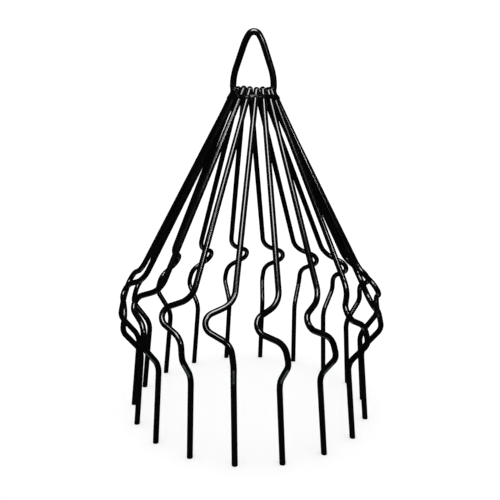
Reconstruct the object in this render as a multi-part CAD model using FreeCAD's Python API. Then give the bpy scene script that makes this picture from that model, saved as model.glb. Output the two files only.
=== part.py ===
import FreeCAD, Part

import math
import os

from FreeCAD import Vector

os.makedirs("parts", exist_ok=True)

# Fruit picker basket of bent round wire, standing on its tine tips.
# Millimetres, +Z up. The origin is the centre of the circle of tips, on the plane they stand on.
# The hanging loop lies in the XZ plane. Angles are anticlockwise from -Y, seen from above.

# Driving dimensions
wire = 3.4              # outside diameter: 3.2 mm steel wire in its coating
thick_wire = 3.9        # the same wire in the loop, where the coating is thicker
ribs = 18               # wires around the basket, the two ends of the loop wire included
tip_radius = 76.0       # centre line of the tips
height = 235.8          # from the tips to the top of the loop
collar_height = 199.6   # where the loop wire bends from rib to loop
collar_radius = 12.0    # centre line of the ribs at that height
collar_turn = 14.0      # how far round the ribs have turned there, against their tips

# Where one rib bends: radius, turn against its tip and height of each corner, and the bend radius
cone_end = dict(radius=68.9, turn=-1.4, height=91.0, bend=12.0)
side_swing = dict(radius=81.0, turn=-16.2, height=82.6, bend=6.0)
return_swing = dict(radius=80.6, turn=-1.3, height=72.2, bend=10.0)
shoulder = dict(radius=82.8, turn=0.0, height=61.2, bend=7.0)
tine_top = dict(radius=71.4, turn=-1.2, height=46.8, bend=12.0)
rib_corners = [cone_end, side_swing, return_swing, shoulder, tine_top]

# Collar
rib_top = 202.6         # height of the ribs' cut ends
rib_top_round = 1.2     # rounding of those ends under the coating
tip_round = 0.3         # and of the tips
ring_height = 196.6     # centre line of the ring that the ribs are welded to
ring_gap = 0.04         # between the ring and the ribs, which touch through their welds only
weld_root = 1.6         # radius of a bead where it leaves the ring, between two ribs
weld_radius = 2.0       # radius of its round outer end
weld_proud = 0.5        # of that end, outside the ribs

# Loop: a narrow pointed arch. The coating gathered on it while the basket hung to dry.
loop_side_angle = 19.0      # of its sides, off vertical, up to the shoulders
loop_shoulder_angle = 32.0  # of its sides above the shoulders
loop_shoulder_x = 4.9       # half width between the shoulders
loop_side_bend = 32.0
loop_shoulder_bend = 26.0
loop_top_bend = 3.6
thin_end = 201.0        # height where the coating starts to thicken
thick_start = 203.0     # height where it has its full thickness
collar_bend = 4.0       # bend radius where the loop leaves its two ribs

pitch = 360.0 / ribs
loop_rib_angle = 90.0 - collar_turn   # the tips of the loop wire, for its legs to stand on the X axis


def around(radius, angle, z):
    """Point at a radius and an angle, anticlockwise from -Y."""
    a = math.radians(angle)
    return Vector(radius * math.sin(a), -radius * math.cos(a), z)


def corner_arc(before, corner, after, bend):
    """Tangent arc that rounds one corner: its two ends and its middle."""
    back = (before - corner).normalize()
    ahead = (after - corner).normalize()
    half = back.getAngle(ahead) / 2
    cut = bend / math.tan(half)
    middle = (back + ahead).normalize()
    to_middle = bend / math.sin(half) - bend
    return corner + back * cut, corner + middle * to_middle, corner + ahead * cut


def bent_path(points, bends):
    """Straight runs through the points, joined by tangent arcs at all but the two ends."""
    edges = []
    start = points[0]
    for before, corner, after, bend in zip(points, points[1:], points[2:], bends):
        first, middle, last = corner_arc(before, corner, after, bend)
        edges.append(Part.LineSegment(start, first).toShape())
        edges.append(Part.Arc(first, middle, last).toShape())
        start = last
    edges.append(Part.LineSegment(start, points[-1]).toShape())
    return Part.Wire(edges)


def swept(path, diameter):
    """Round bar along a path."""
    first = path.Edges[0]
    start = first.valueAt(first.FirstParameter)
    along = first.tangentAt(first.FirstParameter)
    disc = Part.Face(Part.Wire(Part.makeCircle(diameter / 2, start, along)))
    return path.makePipe(disc)


def rib_points(tip_angle):
    """Corners of one rib from its collar point down to its tip, and past it for the level cut."""
    collar = around(collar_radius, tip_angle + collar_turn, collar_height)
    corners = [around(c["radius"], tip_angle + c["turn"], c["height"]) for c in rib_corners]
    tip = around(tip_radius, tip_angle, 0.0)
    past = (tip - corners[-1]).normalize() * wire
    return [collar] + corners + [tip + past]


def level_cut(solid):
    """Trim a solid at the plane that the basket stands on, and round the new edges."""
    side = 3 * tip_radius
    below = Part.makeBox(side, side, side, Vector(-side / 2, -side / 2, -side))
    trimmed = solid.cut(below).Solids[0]
    edges = [e for e in trimmed.Edges if abs(e.CenterOfMass.z) < 0.01 and e.Closed]
    return trimmed.makeFillet(tip_round, edges)


def rib(tip_angle):
    """One rib with its tine, straight from its top end down to the side swing."""
    points = rib_points(tip_angle)
    slope = points[0] - points[1]
    points[0] = points[0] + slope * ((rib_top - collar_height) / slope.z)
    path = bent_path(points, rib_bends)
    bar = swept(path, wire)
    top_edge = min((e for e in bar.Edges if e.Closed), key=lambda e: (e.CenterOfMass - points[0]).Length)
    return level_cut(bar.makeFillet(rib_top_round, [top_edge]))


def loop_corners():
    """Corners of one half of the loop: the foot of its side, the shoulder and the arch's point."""
    above = math.radians(loop_shoulder_angle)
    below = math.radians(loop_side_angle)
    point = height - thick_wire / 2 + loop_top_bend * (1 / math.sin(above) - 1)
    shoulder = point - loop_shoulder_x / math.tan(above)
    foot = shoulder - (collar_radius - loop_shoulder_x) / math.tan(below)
    return Vector(collar_radius, 0, foot), Vector(loop_shoulder_x, 0, shoulder), Vector(0, 0, point)


def mirrored(point):
    """The same point on the opposite side of the loop."""
    return Vector(-point.x, -point.y, point.z)


def loop_wire():
    """One long wire: a rib, the hanging loop above the collar, and the opposite rib."""
    thin = Vector(collar_radius, 0, thin_end)
    thick = Vector(collar_radius, 0, thick_start)
    leg = swept(bent_path([thin] + rib_points(loop_rib_angle), [collar_bend] + rib_bends), wire)
    taper = Part.makeCone(wire / 2, thick_wire / 2, thick_start - thin_end, thin)
    half = level_cut(leg).fuse(taper)
    other_half = half.copy()
    other_half.rotate(Vector(0, 0, 0), Vector(0, 0, 1), 180)
    foot, shoulder, point = loop_corners()
    side = [thick, foot, shoulder]
    arch = side + [point] + [mirrored(corner) for corner in reversed(side)]
    bends = [loop_side_bend, loop_shoulder_bend, loop_top_bend, loop_shoulder_bend, loop_side_bend]
    loop = swept(bent_path(arch, bends), thick_wire)
    return half.fuse([other_half, loop]).removeSplitter().Solids[0]


def rib_line(z):
    """Radius and angle of a rib's straight run at a height, for a rib with its tip at angle 0."""
    upper, lower = rib_points(0)[:2]
    here = upper + (lower - upper) * ((upper.z - z) / (upper.z - lower.z))
    return math.hypot(here.x, here.y), math.degrees(math.atan2(here.x, -here.y))


def collar_ring():
    """Closed ring inside the ribs, just below their top ends."""
    upper, lower = rib_points(0)[:2]
    run = upper - lower
    upright = run.z / run.Length
    radius = rib_line(ring_height)[0] - (wire + ring_gap) / upright
    return Part.makeTorus(radius, wire / 2, Vector(0, 0, ring_height))


def collar_welds(ring):
    """Beads on the ring, one in each groove between two neighbouring ribs."""
    radius, turn = rib_line(ring_height)
    groove = turn + pitch / 2
    root = around(ring.BoundBox.XMax - wire / 2, groove, ring_height)
    outward = around(1.0, groove, 0.0)
    face = around(radius + wire / 2 + weld_proud - weld_radius, groove, ring_height)
    bead = Part.makeCylinder(weld_root, (face - root).Length, root, outward)
    bead = bead.fuse(Part.makeSphere(weld_radius, face))
    neighbours = [rib(0.0), rib(pitch)]
    bead = bead.cut([ring] + neighbours)
    bead = max(bead.Solids, key=lambda s: s.Volume)
    return turned_copies(bead, ribs)


def turned_copies(solid, count):
    """The same solid set evenly around the basket, starting beside the loop wire's first rib."""
    copies = []
    for i in range(count):
        copy = solid.copy()
        copy.rotate(Vector(0, 0, 0), Vector(0, 0, 1), loop_rib_angle + i * 360.0 / count)
        copies.append(copy)
    return Part.makeCompound(copies)


rib_bends = [c["bend"] for c in rib_corners]
nodes = {}
nodes["loop_wire"] = loop_wire()
nodes["collar_ring"] = collar_ring()
nodes["collar_welds"] = collar_welds(nodes["collar_ring"])
loop_ribs = (0, ribs // 2)
single_ribs = [i for i in range(ribs) if i not in loop_ribs]
for number, i in enumerate(single_ribs, start=1):
    nodes["rib_%02d" % number] = rib(loop_rib_angle + i * pitch)

for name, shape in nodes.items():
    shape.exportStep("parts/%s.step" % name)
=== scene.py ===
import math

import bmesh
import bpy
from mathutils import Matrix, Vector, noise


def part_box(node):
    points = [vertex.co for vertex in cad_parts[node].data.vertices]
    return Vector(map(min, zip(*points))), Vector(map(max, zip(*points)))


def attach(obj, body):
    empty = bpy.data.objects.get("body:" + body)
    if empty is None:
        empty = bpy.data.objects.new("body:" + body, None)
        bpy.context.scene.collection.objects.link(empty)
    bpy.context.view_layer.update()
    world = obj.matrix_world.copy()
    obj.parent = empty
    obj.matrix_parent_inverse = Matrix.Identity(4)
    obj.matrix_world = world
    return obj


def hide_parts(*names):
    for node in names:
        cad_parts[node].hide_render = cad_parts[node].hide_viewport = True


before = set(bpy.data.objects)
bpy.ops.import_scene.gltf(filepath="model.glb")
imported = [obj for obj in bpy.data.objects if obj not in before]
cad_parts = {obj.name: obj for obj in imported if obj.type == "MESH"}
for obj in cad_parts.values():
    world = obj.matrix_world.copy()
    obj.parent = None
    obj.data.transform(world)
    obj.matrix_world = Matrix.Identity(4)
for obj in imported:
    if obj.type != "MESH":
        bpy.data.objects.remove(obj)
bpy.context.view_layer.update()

# Fruit picker basket: eighteen bent wires gathered in a welded collar, dipped in gloss black.
# Metres, +Z up. The basket stands on its tine tips, with its axis on Z and the loop in XZ.
# Angles are anticlockwise from -Y, seen from above.

loop_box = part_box("loop_wire")
ring_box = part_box("collar_ring")

mm = 0.001

# Wire
wire = 3.4 * mm
thick_wire = 3.9 * mm                    # in the loop, where the coating gathered
height = loop_box[1][2]
ribs = 18
pitch = 360.0 / ribs

# One rib, from the collar down: radius, turn against its tip, height and bend radius
tip_radius = 76.0 * mm
collar = dict(radius=12.0 * mm, turn=14.0, height=199.6 * mm, bend=4.0 * mm)
cone_end = dict(radius=68.9 * mm, turn=-1.4, height=91.0 * mm, bend=12.0 * mm)
side_swing = dict(radius=81.0 * mm, turn=-16.2, height=82.6 * mm, bend=6.0 * mm)
return_swing = dict(radius=80.6 * mm, turn=-1.3, height=72.2 * mm, bend=10.0 * mm)
shoulder = dict(radius=82.8 * mm, turn=0.0, height=61.2 * mm, bend=7.0 * mm)
tine_top = dict(radius=71.4 * mm, turn=-1.2, height=46.8 * mm, bend=12.0 * mm)
rib_corners = [tine_top, shoulder, return_swing, side_swing, cone_end]
rib_bends = [c["bend"] for c in rib_corners]
rib_top = 202.6 * mm
rib_top_scatter = 1.0 * mm               # the cut ends do not line up exactly
rib_top_dome = 1.2 * mm                  # rounding of those ends
tip_rounding = 0.3 * mm                  # of the tines' cut ends
loop_rib_angle = 90.0 - collar["turn"]

# Loop
loop_side_angle = math.radians(19.0)      # off vertical, up to the shoulders
loop_shoulder_angle = math.radians(32.0)  # above them
loop_shoulder_x = 4.9 * mm
loop_side_bend = 32.0 * mm
loop_shoulder_bend = 26.0 * mm
loop_top_bend = 3.6 * mm
thin_end = 201.0 * mm                    # the coating thickens from here up to the next height
thick_start = 203.0 * mm

# Weld run round the collar
weld_proud = 0.25 * mm                   # outside the ribs
weld_half_height = 1.9 * mm              # along the ribs
weld_half_depth = 1.3 * mm               # across them
weld_lump = 0.55 * mm
coarse_lumps = 330.0                     # noise cells per metre
fine_lumps = 700.0
fine_share = 0.6

# Mesh
sides = 28                               # faces around a wire
bend_step = math.radians(6.0)            # of the bends, between two rings of faces
run_step = 1.0 * mm                      # of the straight runs
weld_steps = 16                          # rings of faces between two ribs


def around(radius, angle, z):
    """Point at a radius and an angle."""
    a = math.radians(angle)
    return Vector((radius * math.sin(a), -radius * math.cos(a), z))


# ---------------------------------------------------------------- bent wires

class BentBar:
    """A round bar grown ring by ring, the way a bender feeds and turns it."""

    def __init__(self, start, toward, radius):
        self.bm = bmesh.new()
        self.at = start
        self.along = (toward - start).normalized()
        turn = self.along.to_track_quat("Z", "Y").to_matrix().to_4x4()
        ring = bmesh.ops.create_circle(self.bm, segments=sides, radius=radius, cap_ends=False,
                                       matrix=Matrix.Translation(start) @ turn)
        self.first = ring["verts"]
        self.ring = ring["verts"]

    def ring_edges(self):
        ring = set(self.ring)
        return list({e for v in self.ring for e in v.link_edges if e.other_vert(v) in ring})

    def feed(self, target):
        """Straight run to a point."""
        run = target - self.at
        steps = max(1, round(run.length / run_step))
        for _ in range(steps):
            out = bmesh.ops.extrude_edge_only(self.bm, edges=self.ring_edges())
            self.ring = [v for v in out["geom"] if isinstance(v, bmesh.types.BMVert)]
            bmesh.ops.translate(self.bm, verts=self.ring, vec=run / steps)
        self.at = target

    def bend(self, corner, after, radius):
        """Feed to a corner's bend and turn the bar round it, towards the next corner."""
        back = (self.at - corner).normalized()
        ahead = (after - corner).normalized()
        half = back.angle(ahead) / 2
        self.feed(corner + back * (radius / math.tan(half)))
        angle = math.pi - 2 * half
        centre = corner + (back + ahead).normalized() * (radius / math.sin(half))
        axis = ahead.cross(back).normalized()
        steps = max(3, math.ceil(angle / bend_step))
        out = bmesh.ops.spin(self.bm, geom=self.ring + self.ring_edges(), cent=centre, axis=axis,
                             dvec=(0, 0, 0), angle=angle, steps=steps, use_duplicate=False)
        self.ring = [v for v in out["geom_last"] if isinstance(v, bmesh.types.BMVert)]
        self.at = corner + ahead * (radius / math.tan(half))

    def through(self, corners, bends, end):
        """Bend round each corner in turn and feed to the end."""
        ahead = corners[1:] + [end]
        for corner, after, radius in zip(corners, ahead, bends):
            self.bend(corner, after, radius)
        self.feed(end)

    def close_end(self, verts, rounding):
        """Fill one end and round its edge."""
        face = bmesh.ops.contextual_create(self.bm, geom=list(verts))["faces"][0]
        bmesh.ops.bevel(self.bm, geom=list(face.edges), offset=rounding, affect="EDGES",
                        segments=4, profile=0.5, material=-1)


def make_piece(bm, name, nodes):
    """Turn a finished bmesh into a smooth piece that stands for its CAD nodes."""
    bmesh.ops.recalc_face_normals(bm, faces=list(bm.faces))
    mesh = bpy.data.meshes.new(name)
    bm.to_mesh(mesh)
    bm.free()
    mesh.shade_smooth()
    piece = bpy.data.objects.new(name, mesh)
    bpy.context.collection.objects.link(piece)
    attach(piece, "root")
    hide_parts(*nodes)
    return piece


def rib_path(tip_angle):
    """Corners of one rib from its tine top up to its cone end, its tip and its collar point."""
    corners = [around(c["radius"], tip_angle + c["turn"], c["height"]) for c in rib_corners]
    tip = around(tip_radius, tip_angle, 0.0)
    top = around(collar["radius"], tip_angle + collar["turn"], collar["height"])
    return tip, corners, top


def single_rib(tip_angle, name, node):
    """One rib with its tine, domed at its upper end."""
    tip, corners, top = rib_path(tip_angle)
    slope = top - corners[-1]
    cut = rib_top + rib_top_scatter * noise.noise(tip * 90.0)
    top = top + slope * ((cut - top.z) / slope.z)
    bar = BentBar(tip, corners[0], wire / 2)
    foot = list(bar.ring)
    bar.through(corners, rib_bends, top)
    bar.close_end(bar.ring, rib_top_dome)
    level_tip(bar, foot)
    return make_piece(bar.bm, name, [node])


def level_tip(bar, foot):
    """Square a tine's end to the floor, and round its edge."""
    for v in foot:
        v.co.z = 0.0
    bar.close_end(foot, tip_rounding)


def loop_corners():
    """Corners of one half of the loop: the foot of its side, the shoulder and the point."""
    point = height - thick_wire / 2 + loop_top_bend * (1 / math.sin(loop_shoulder_angle) - 1)
    shoulder = point - loop_shoulder_x / math.tan(loop_shoulder_angle)
    foot = shoulder - (collar["radius"] - loop_shoulder_x) / math.tan(loop_side_angle)
    return [Vector((collar["radius"], 0, foot)), Vector((loop_shoulder_x, 0, shoulder)),
            Vector((0, 0, point))]


def hanging_loop():
    """The long wire: a rib, the loop and the opposite rib."""
    tip, corners, top = rib_path(loop_rib_angle)
    far_tip, far_corners, far_top = rib_path(loop_rib_angle + 180.0)
    side = loop_corners()
    far_side = [Vector((-c.x, 0, c.z)) for c in side[-2::-1]]
    up_bends = [collar["bend"], loop_side_bend, loop_shoulder_bend]
    bends = rib_bends + up_bends + [loop_top_bend] + up_bends[::-1] + rib_bends[::-1]
    bar = BentBar(tip, corners[0], wire / 2)
    ends = [list(bar.ring)]
    bar.through(corners + [top] + side + far_side + [far_top] + far_corners[::-1], bends, far_tip)
    ends.append(list(bar.ring))
    thicken_coating(bar.bm)
    for end in ends:
        level_tip(bar, end)
    return make_piece(bar.bm, "hanging_loop_wire", ["loop_wire"])


def thicken_coating(bm):
    """Swell the loop above the collar, where the wet coating gathered."""
    bm.normal_update()
    extra = (thick_wire - wire) / 2
    for v in bm.verts:
        share = min(1.0, max(0.0, (v.co.z - thin_end) / (thick_start - thin_end)))
        v.co += v.normal * extra * share * share * (3 - 2 * share)


def all_wires():
    """The hanging loop's wire, and the sixteen ribs between its two."""
    pieces = [hanging_loop()]
    single = [i for i in range(ribs) if i % (ribs // 2)]
    for number, i in enumerate(single, start=1):
        angle = loop_rib_angle + i * pitch
        pieces.append(single_rib(angle, "bent_rib_%02d" % number, "rib_%02d" % number))
    return pieces


# ---------------------------------------------------------------- welds

def weld_run():
    """One lumpy run of weld round the collar, laid flat on the ribs' slope."""
    z = (ring_box[0][2] + ring_box[1][2]) / 2
    upper = Vector((collar["radius"], collar["height"]))
    slope = (Vector((cone_end["radius"], cone_end["height"])) - upper).normalized()
    rib_radius = upper.x + slope.x * (z - upper.y) / slope.y
    down = Vector((0.0, -slope.x, slope.y))
    out = Vector((0.0, slope.y, slope.x))
    middle = around(rib_radius, 0.0, z) + out * (wire / 2 + weld_proud - weld_half_depth)
    flat = Matrix((out * weld_half_depth, down * weld_half_height, (1, 0, 0))).transposed()
    bm = bmesh.new()
    ring = bmesh.ops.create_circle(bm, segments=sides, radius=1.0, cap_ends=False,
                                   matrix=Matrix.Translation(middle) @ flat.to_4x4())
    edges = list({e for v in ring["verts"] for e in v.link_edges})
    bmesh.ops.spin(bm, geom=ring["verts"] + edges, cent=(0, 0, 0), axis=(0, 0, 1), dvec=(0, 0, 0),
                   angle=2 * math.pi, steps=ribs * weld_steps, use_duplicate=False)
    bmesh.ops.remove_doubles(bm, verts=bm.verts, dist=0.001 * mm)
    bmesh.ops.recalc_face_normals(bm, faces=list(bm.faces))
    bm.normal_update()
    for v in bm.verts:
        lumps = noise.noise(v.co * coarse_lumps) + fine_share * noise.noise(v.co * fine_lumps)
        v.co += v.normal * weld_lump * lumps
    return make_piece(bm, "weld_run", ["collar_welds"])


# ---------------------------------------------------------------- finishes

def node(tree, kind, **inputs):
    made = tree.nodes.new(kind)
    for name, value in inputs.items():
        made.inputs[name.replace("_", " ")].default_value = value
    return made


def coat_group():
    """Dip coat over wire: fine orange peel, thin and thick patches, and wear near the tips."""
    group = bpy.data.node_groups.new("dip coat", "ShaderNodeTree")
    face = group.interface
    face.new_socket("Peel Size", in_out="INPUT", socket_type="NodeSocketFloat").default_value = 900.0
    face.new_socket("Wear Height", in_out="INPUT", socket_type="NodeSocketFloat").default_value = 0.002
    face.new_socket("Peel", in_out="OUTPUT", socket_type="NodeSocketFloat")
    face.new_socket("Patches", in_out="OUTPUT", socket_type="NodeSocketFloat")
    face.new_socket("Wear", in_out="OUTPUT", socket_type="NodeSocketFloat")
    source = group.nodes.new("NodeGroupInput")
    result = group.nodes.new("NodeGroupOutput")
    place = group.nodes.new("ShaderNodeTexCoord")
    link = group.links.new

    peel = node(group, "ShaderNodeTexNoise", Detail=2.0, Roughness=0.5)
    link(place.outputs["Object"], peel.inputs["Vector"])
    link(source.outputs["Peel Size"], peel.inputs["Scale"])
    link(peel.outputs["Fac"], result.inputs["Peel"])

    patches = node(group, "ShaderNodeTexNoise", Scale=90.0, Detail=4.0, Roughness=0.6)
    link(place.outputs["Object"], patches.inputs["Vector"])
    link(patches.outputs["Fac"], result.inputs["Patches"])

    split = group.nodes.new("ShaderNodeSeparateXYZ")
    link(place.outputs["Object"], split.inputs["Vector"])
    chips = node(group, "ShaderNodeTexNoise", Scale=1400.0, Detail=3.0, Roughness=0.65)
    link(place.outputs["Object"], chips.inputs["Vector"])
    ragged = group.nodes.new("ShaderNodeMath")
    ragged.operation = "MULTIPLY_ADD"
    ragged.inputs[1].default_value = -0.004
    link(chips.outputs["Fac"], ragged.inputs[0])
    link(source.outputs["Wear Height"], ragged.inputs[2])
    low = group.nodes.new("ShaderNodeMath")
    low.operation = "LESS_THAN"
    link(split.outputs["Z"], low.inputs[0])
    link(ragged.outputs[0], low.inputs[1])
    link(low.outputs[0], result.inputs["Wear"])
    return group


def coated(name, group, peel_size, peel_depth, roughness, shine):
    """Gloss black dip coat over steel."""
    material = bpy.data.materials.new(name)
    material.use_nodes = True
    tree = material.node_tree
    link = tree.links.new
    shader = tree.nodes["Principled BSDF"]
    shader.inputs["IOR"].default_value = 1.45
    shader.inputs["Specular IOR Level"].default_value = shine
    coat = tree.nodes.new("ShaderNodeGroup")
    coat.node_tree = group
    coat.inputs["Peel Size"].default_value = peel_size

    black = node(tree, "ShaderNodeValToRGB")
    black.color_ramp.elements[0].position = 0.35
    black.color_ramp.elements[0].color = (0.0008, 0.0008, 0.0009, 1)
    black.color_ramp.elements[1].position = 0.75
    black.color_ramp.elements[1].color = (0.0022, 0.0023, 0.0025, 1)
    link(coat.outputs["Patches"], black.inputs["Fac"])
    bare = tree.nodes.new("ShaderNodeMix")
    bare.data_type = "RGBA"
    bare.inputs["B"].default_value = (0.23, 0.22, 0.21, 1)
    link(coat.outputs["Wear"], bare.inputs["Factor"])
    link(black.outputs["Color"], bare.inputs["A"])
    link(bare.outputs["Result"], shader.inputs["Base Color"])
    link(coat.outputs["Wear"], shader.inputs["Metallic"])

    gloss = tree.nodes.new("ShaderNodeMapRange")
    gloss.inputs["To Min"].default_value = roughness - 0.05
    gloss.inputs["To Max"].default_value = roughness + 0.10
    link(coat.outputs["Patches"], gloss.inputs["Value"])
    link(gloss.outputs["Result"], shader.inputs["Roughness"])

    bump = node(tree, "ShaderNodeBump", Strength=0.35, Distance=peel_depth)
    link(coat.outputs["Peel"], bump.inputs["Height"])
    link(bump.outputs["Normal"], shader.inputs["Normal"])
    return material


def dress(piece, material):
    piece.data.materials.clear()
    piece.data.materials.append(material)


# ---------------------------------------------------------------- stage, light and camera

def pale_floor():
    """A pale floor that lights the wires but is left out of their gloss."""
    bm = bmesh.new()
    bmesh.ops.create_circle(bm, cap_ends=True, segments=96, radius=12.0)
    mesh = bpy.data.meshes.new("floor")
    bm.to_mesh(mesh)
    bm.free()
    floor = bpy.data.objects.new("floor", mesh)
    floor.visible_glossy = False
    bpy.context.collection.objects.link(floor)
    material = bpy.data.materials.new("floor")
    material.use_nodes = True
    shader = material.node_tree.nodes["Principled BSDF"]
    shader.inputs["Base Color"].default_value = (0.6, 0.6, 0.6, 1)
    shader.inputs["Emission Color"].default_value = (1, 1, 1, 1)
    shader.inputs["Emission Strength"].default_value = 0.45
    shader.inputs["Roughness"].default_value = 0.9
    shader.inputs["Specular IOR Level"].default_value = 0.0
    dress(floor, material)


def soft_room():
    """White room light. The wires' gloss sees it dim, with a cool glow from straight below."""
    world = bpy.data.worlds.new("room")
    bpy.context.scene.world = world
    world.use_nodes = True
    tree = world.node_tree
    link = tree.links.new
    white = tree.nodes["Background"]
    white.inputs["Color"].default_value = (1, 1, 1, 1)
    white.inputs["Strength"].default_value = 1.07
    heading = tree.nodes.new("ShaderNodeTexCoord")
    split = tree.nodes.new("ShaderNodeSeparateXYZ")
    link(heading.outputs["Generated"], split.inputs["Vector"])
    below = node(tree, "ShaderNodeMapRange")
    below.inputs["From Min"].default_value = -0.945
    below.inputs["From Max"].default_value = -0.99
    link(split.outputs["Z"], below.inputs["Value"])
    glow = tree.nodes.new("ShaderNodeMix")
    glow.data_type = "RGBA"
    glow.inputs["A"].default_value = (0.012, 0.012, 0.012, 1)
    glow.inputs["B"].default_value = (0.95, 1.33, 1.30, 1)
    link(below.outputs["Result"], glow.inputs["Factor"])
    dim = tree.nodes.new("ShaderNodeBackground")
    link(glow.outputs["Result"], dim.inputs["Color"])
    path = tree.nodes.new("ShaderNodeLightPath")
    mix = tree.nodes.new("ShaderNodeMixShader")
    link(path.outputs["Is Glossy Ray"], mix.inputs["Fac"])
    link(white.outputs["Background"], mix.inputs[1])
    link(dim.outputs["Background"], mix.inputs[2])
    link(mix.outputs["Shader"], tree.nodes["World Output"].inputs["Surface"])


def aim(thing, place, target, roll=0.0):
    look = (target - place).to_track_quat("-Z", "Y").to_matrix().to_4x4()
    thing.matrix_world = Matrix.Translation(place) @ look @ Matrix.Rotation(roll, 4, "Z")


def softbox(name, place, width, length, radiance):
    """Soft light facing the basket, seen in the wires' gloss only. The floor stays even."""
    data = bpy.data.lights.new(name, "AREA")
    data.shape = "RECTANGLE"
    data.size = width
    data.size_y = length
    data.energy = radiance * math.pi * width * length
    light = bpy.data.objects.new(name, data)
    light.visible_diffuse = False
    bpy.context.collection.objects.link(light)
    target = Vector((0, 0, height / 2))
    aim(light, place + target, target)


def camera():
    """Low front view, close enough for the near tines to look larger than the far ones."""
    azimuth = 2.0
    elevation = 13.45
    distance = 398.0 * mm
    target = around(-0.9 * mm, azimuth + 90.0, 103.7 * mm)
    data = bpy.data.cameras.new("camera")
    data.lens = 45.7
    eye = bpy.data.objects.new("camera", data)
    bpy.context.collection.objects.link(eye)
    level = distance * math.cos(math.radians(elevation))
    back = around(level, azimuth, distance * math.sin(math.radians(elevation)))
    aim(eye, target + back, target, math.radians(0.65))
    bpy.context.scene.camera = eye


# ---------------------------------------------------------------- build

coat = coat_group()
coated_wire = coated("coated wire", coat, 600.0, 0.035 * mm, 0.13, 0.5)
coated_weld = coated("coated weld", coat, 900.0, 0.15 * mm, 0.22, 0.16)
for wire_piece in all_wires():
    dress(wire_piece, coated_wire)
dress(weld_run(), coated_weld)
dress(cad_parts["collar_ring"], coated_wire)

pale_floor()
soft_room()
softbox("key", around(0.52, -2.0, 0.74), 0.42, 0.54, 22.0)
softbox("side", around(0.80, 26.0, 0.38), 0.12, 0.08, 65.0)
camera()
bpy.context.scene.view_settings.view_transform = "Standard"
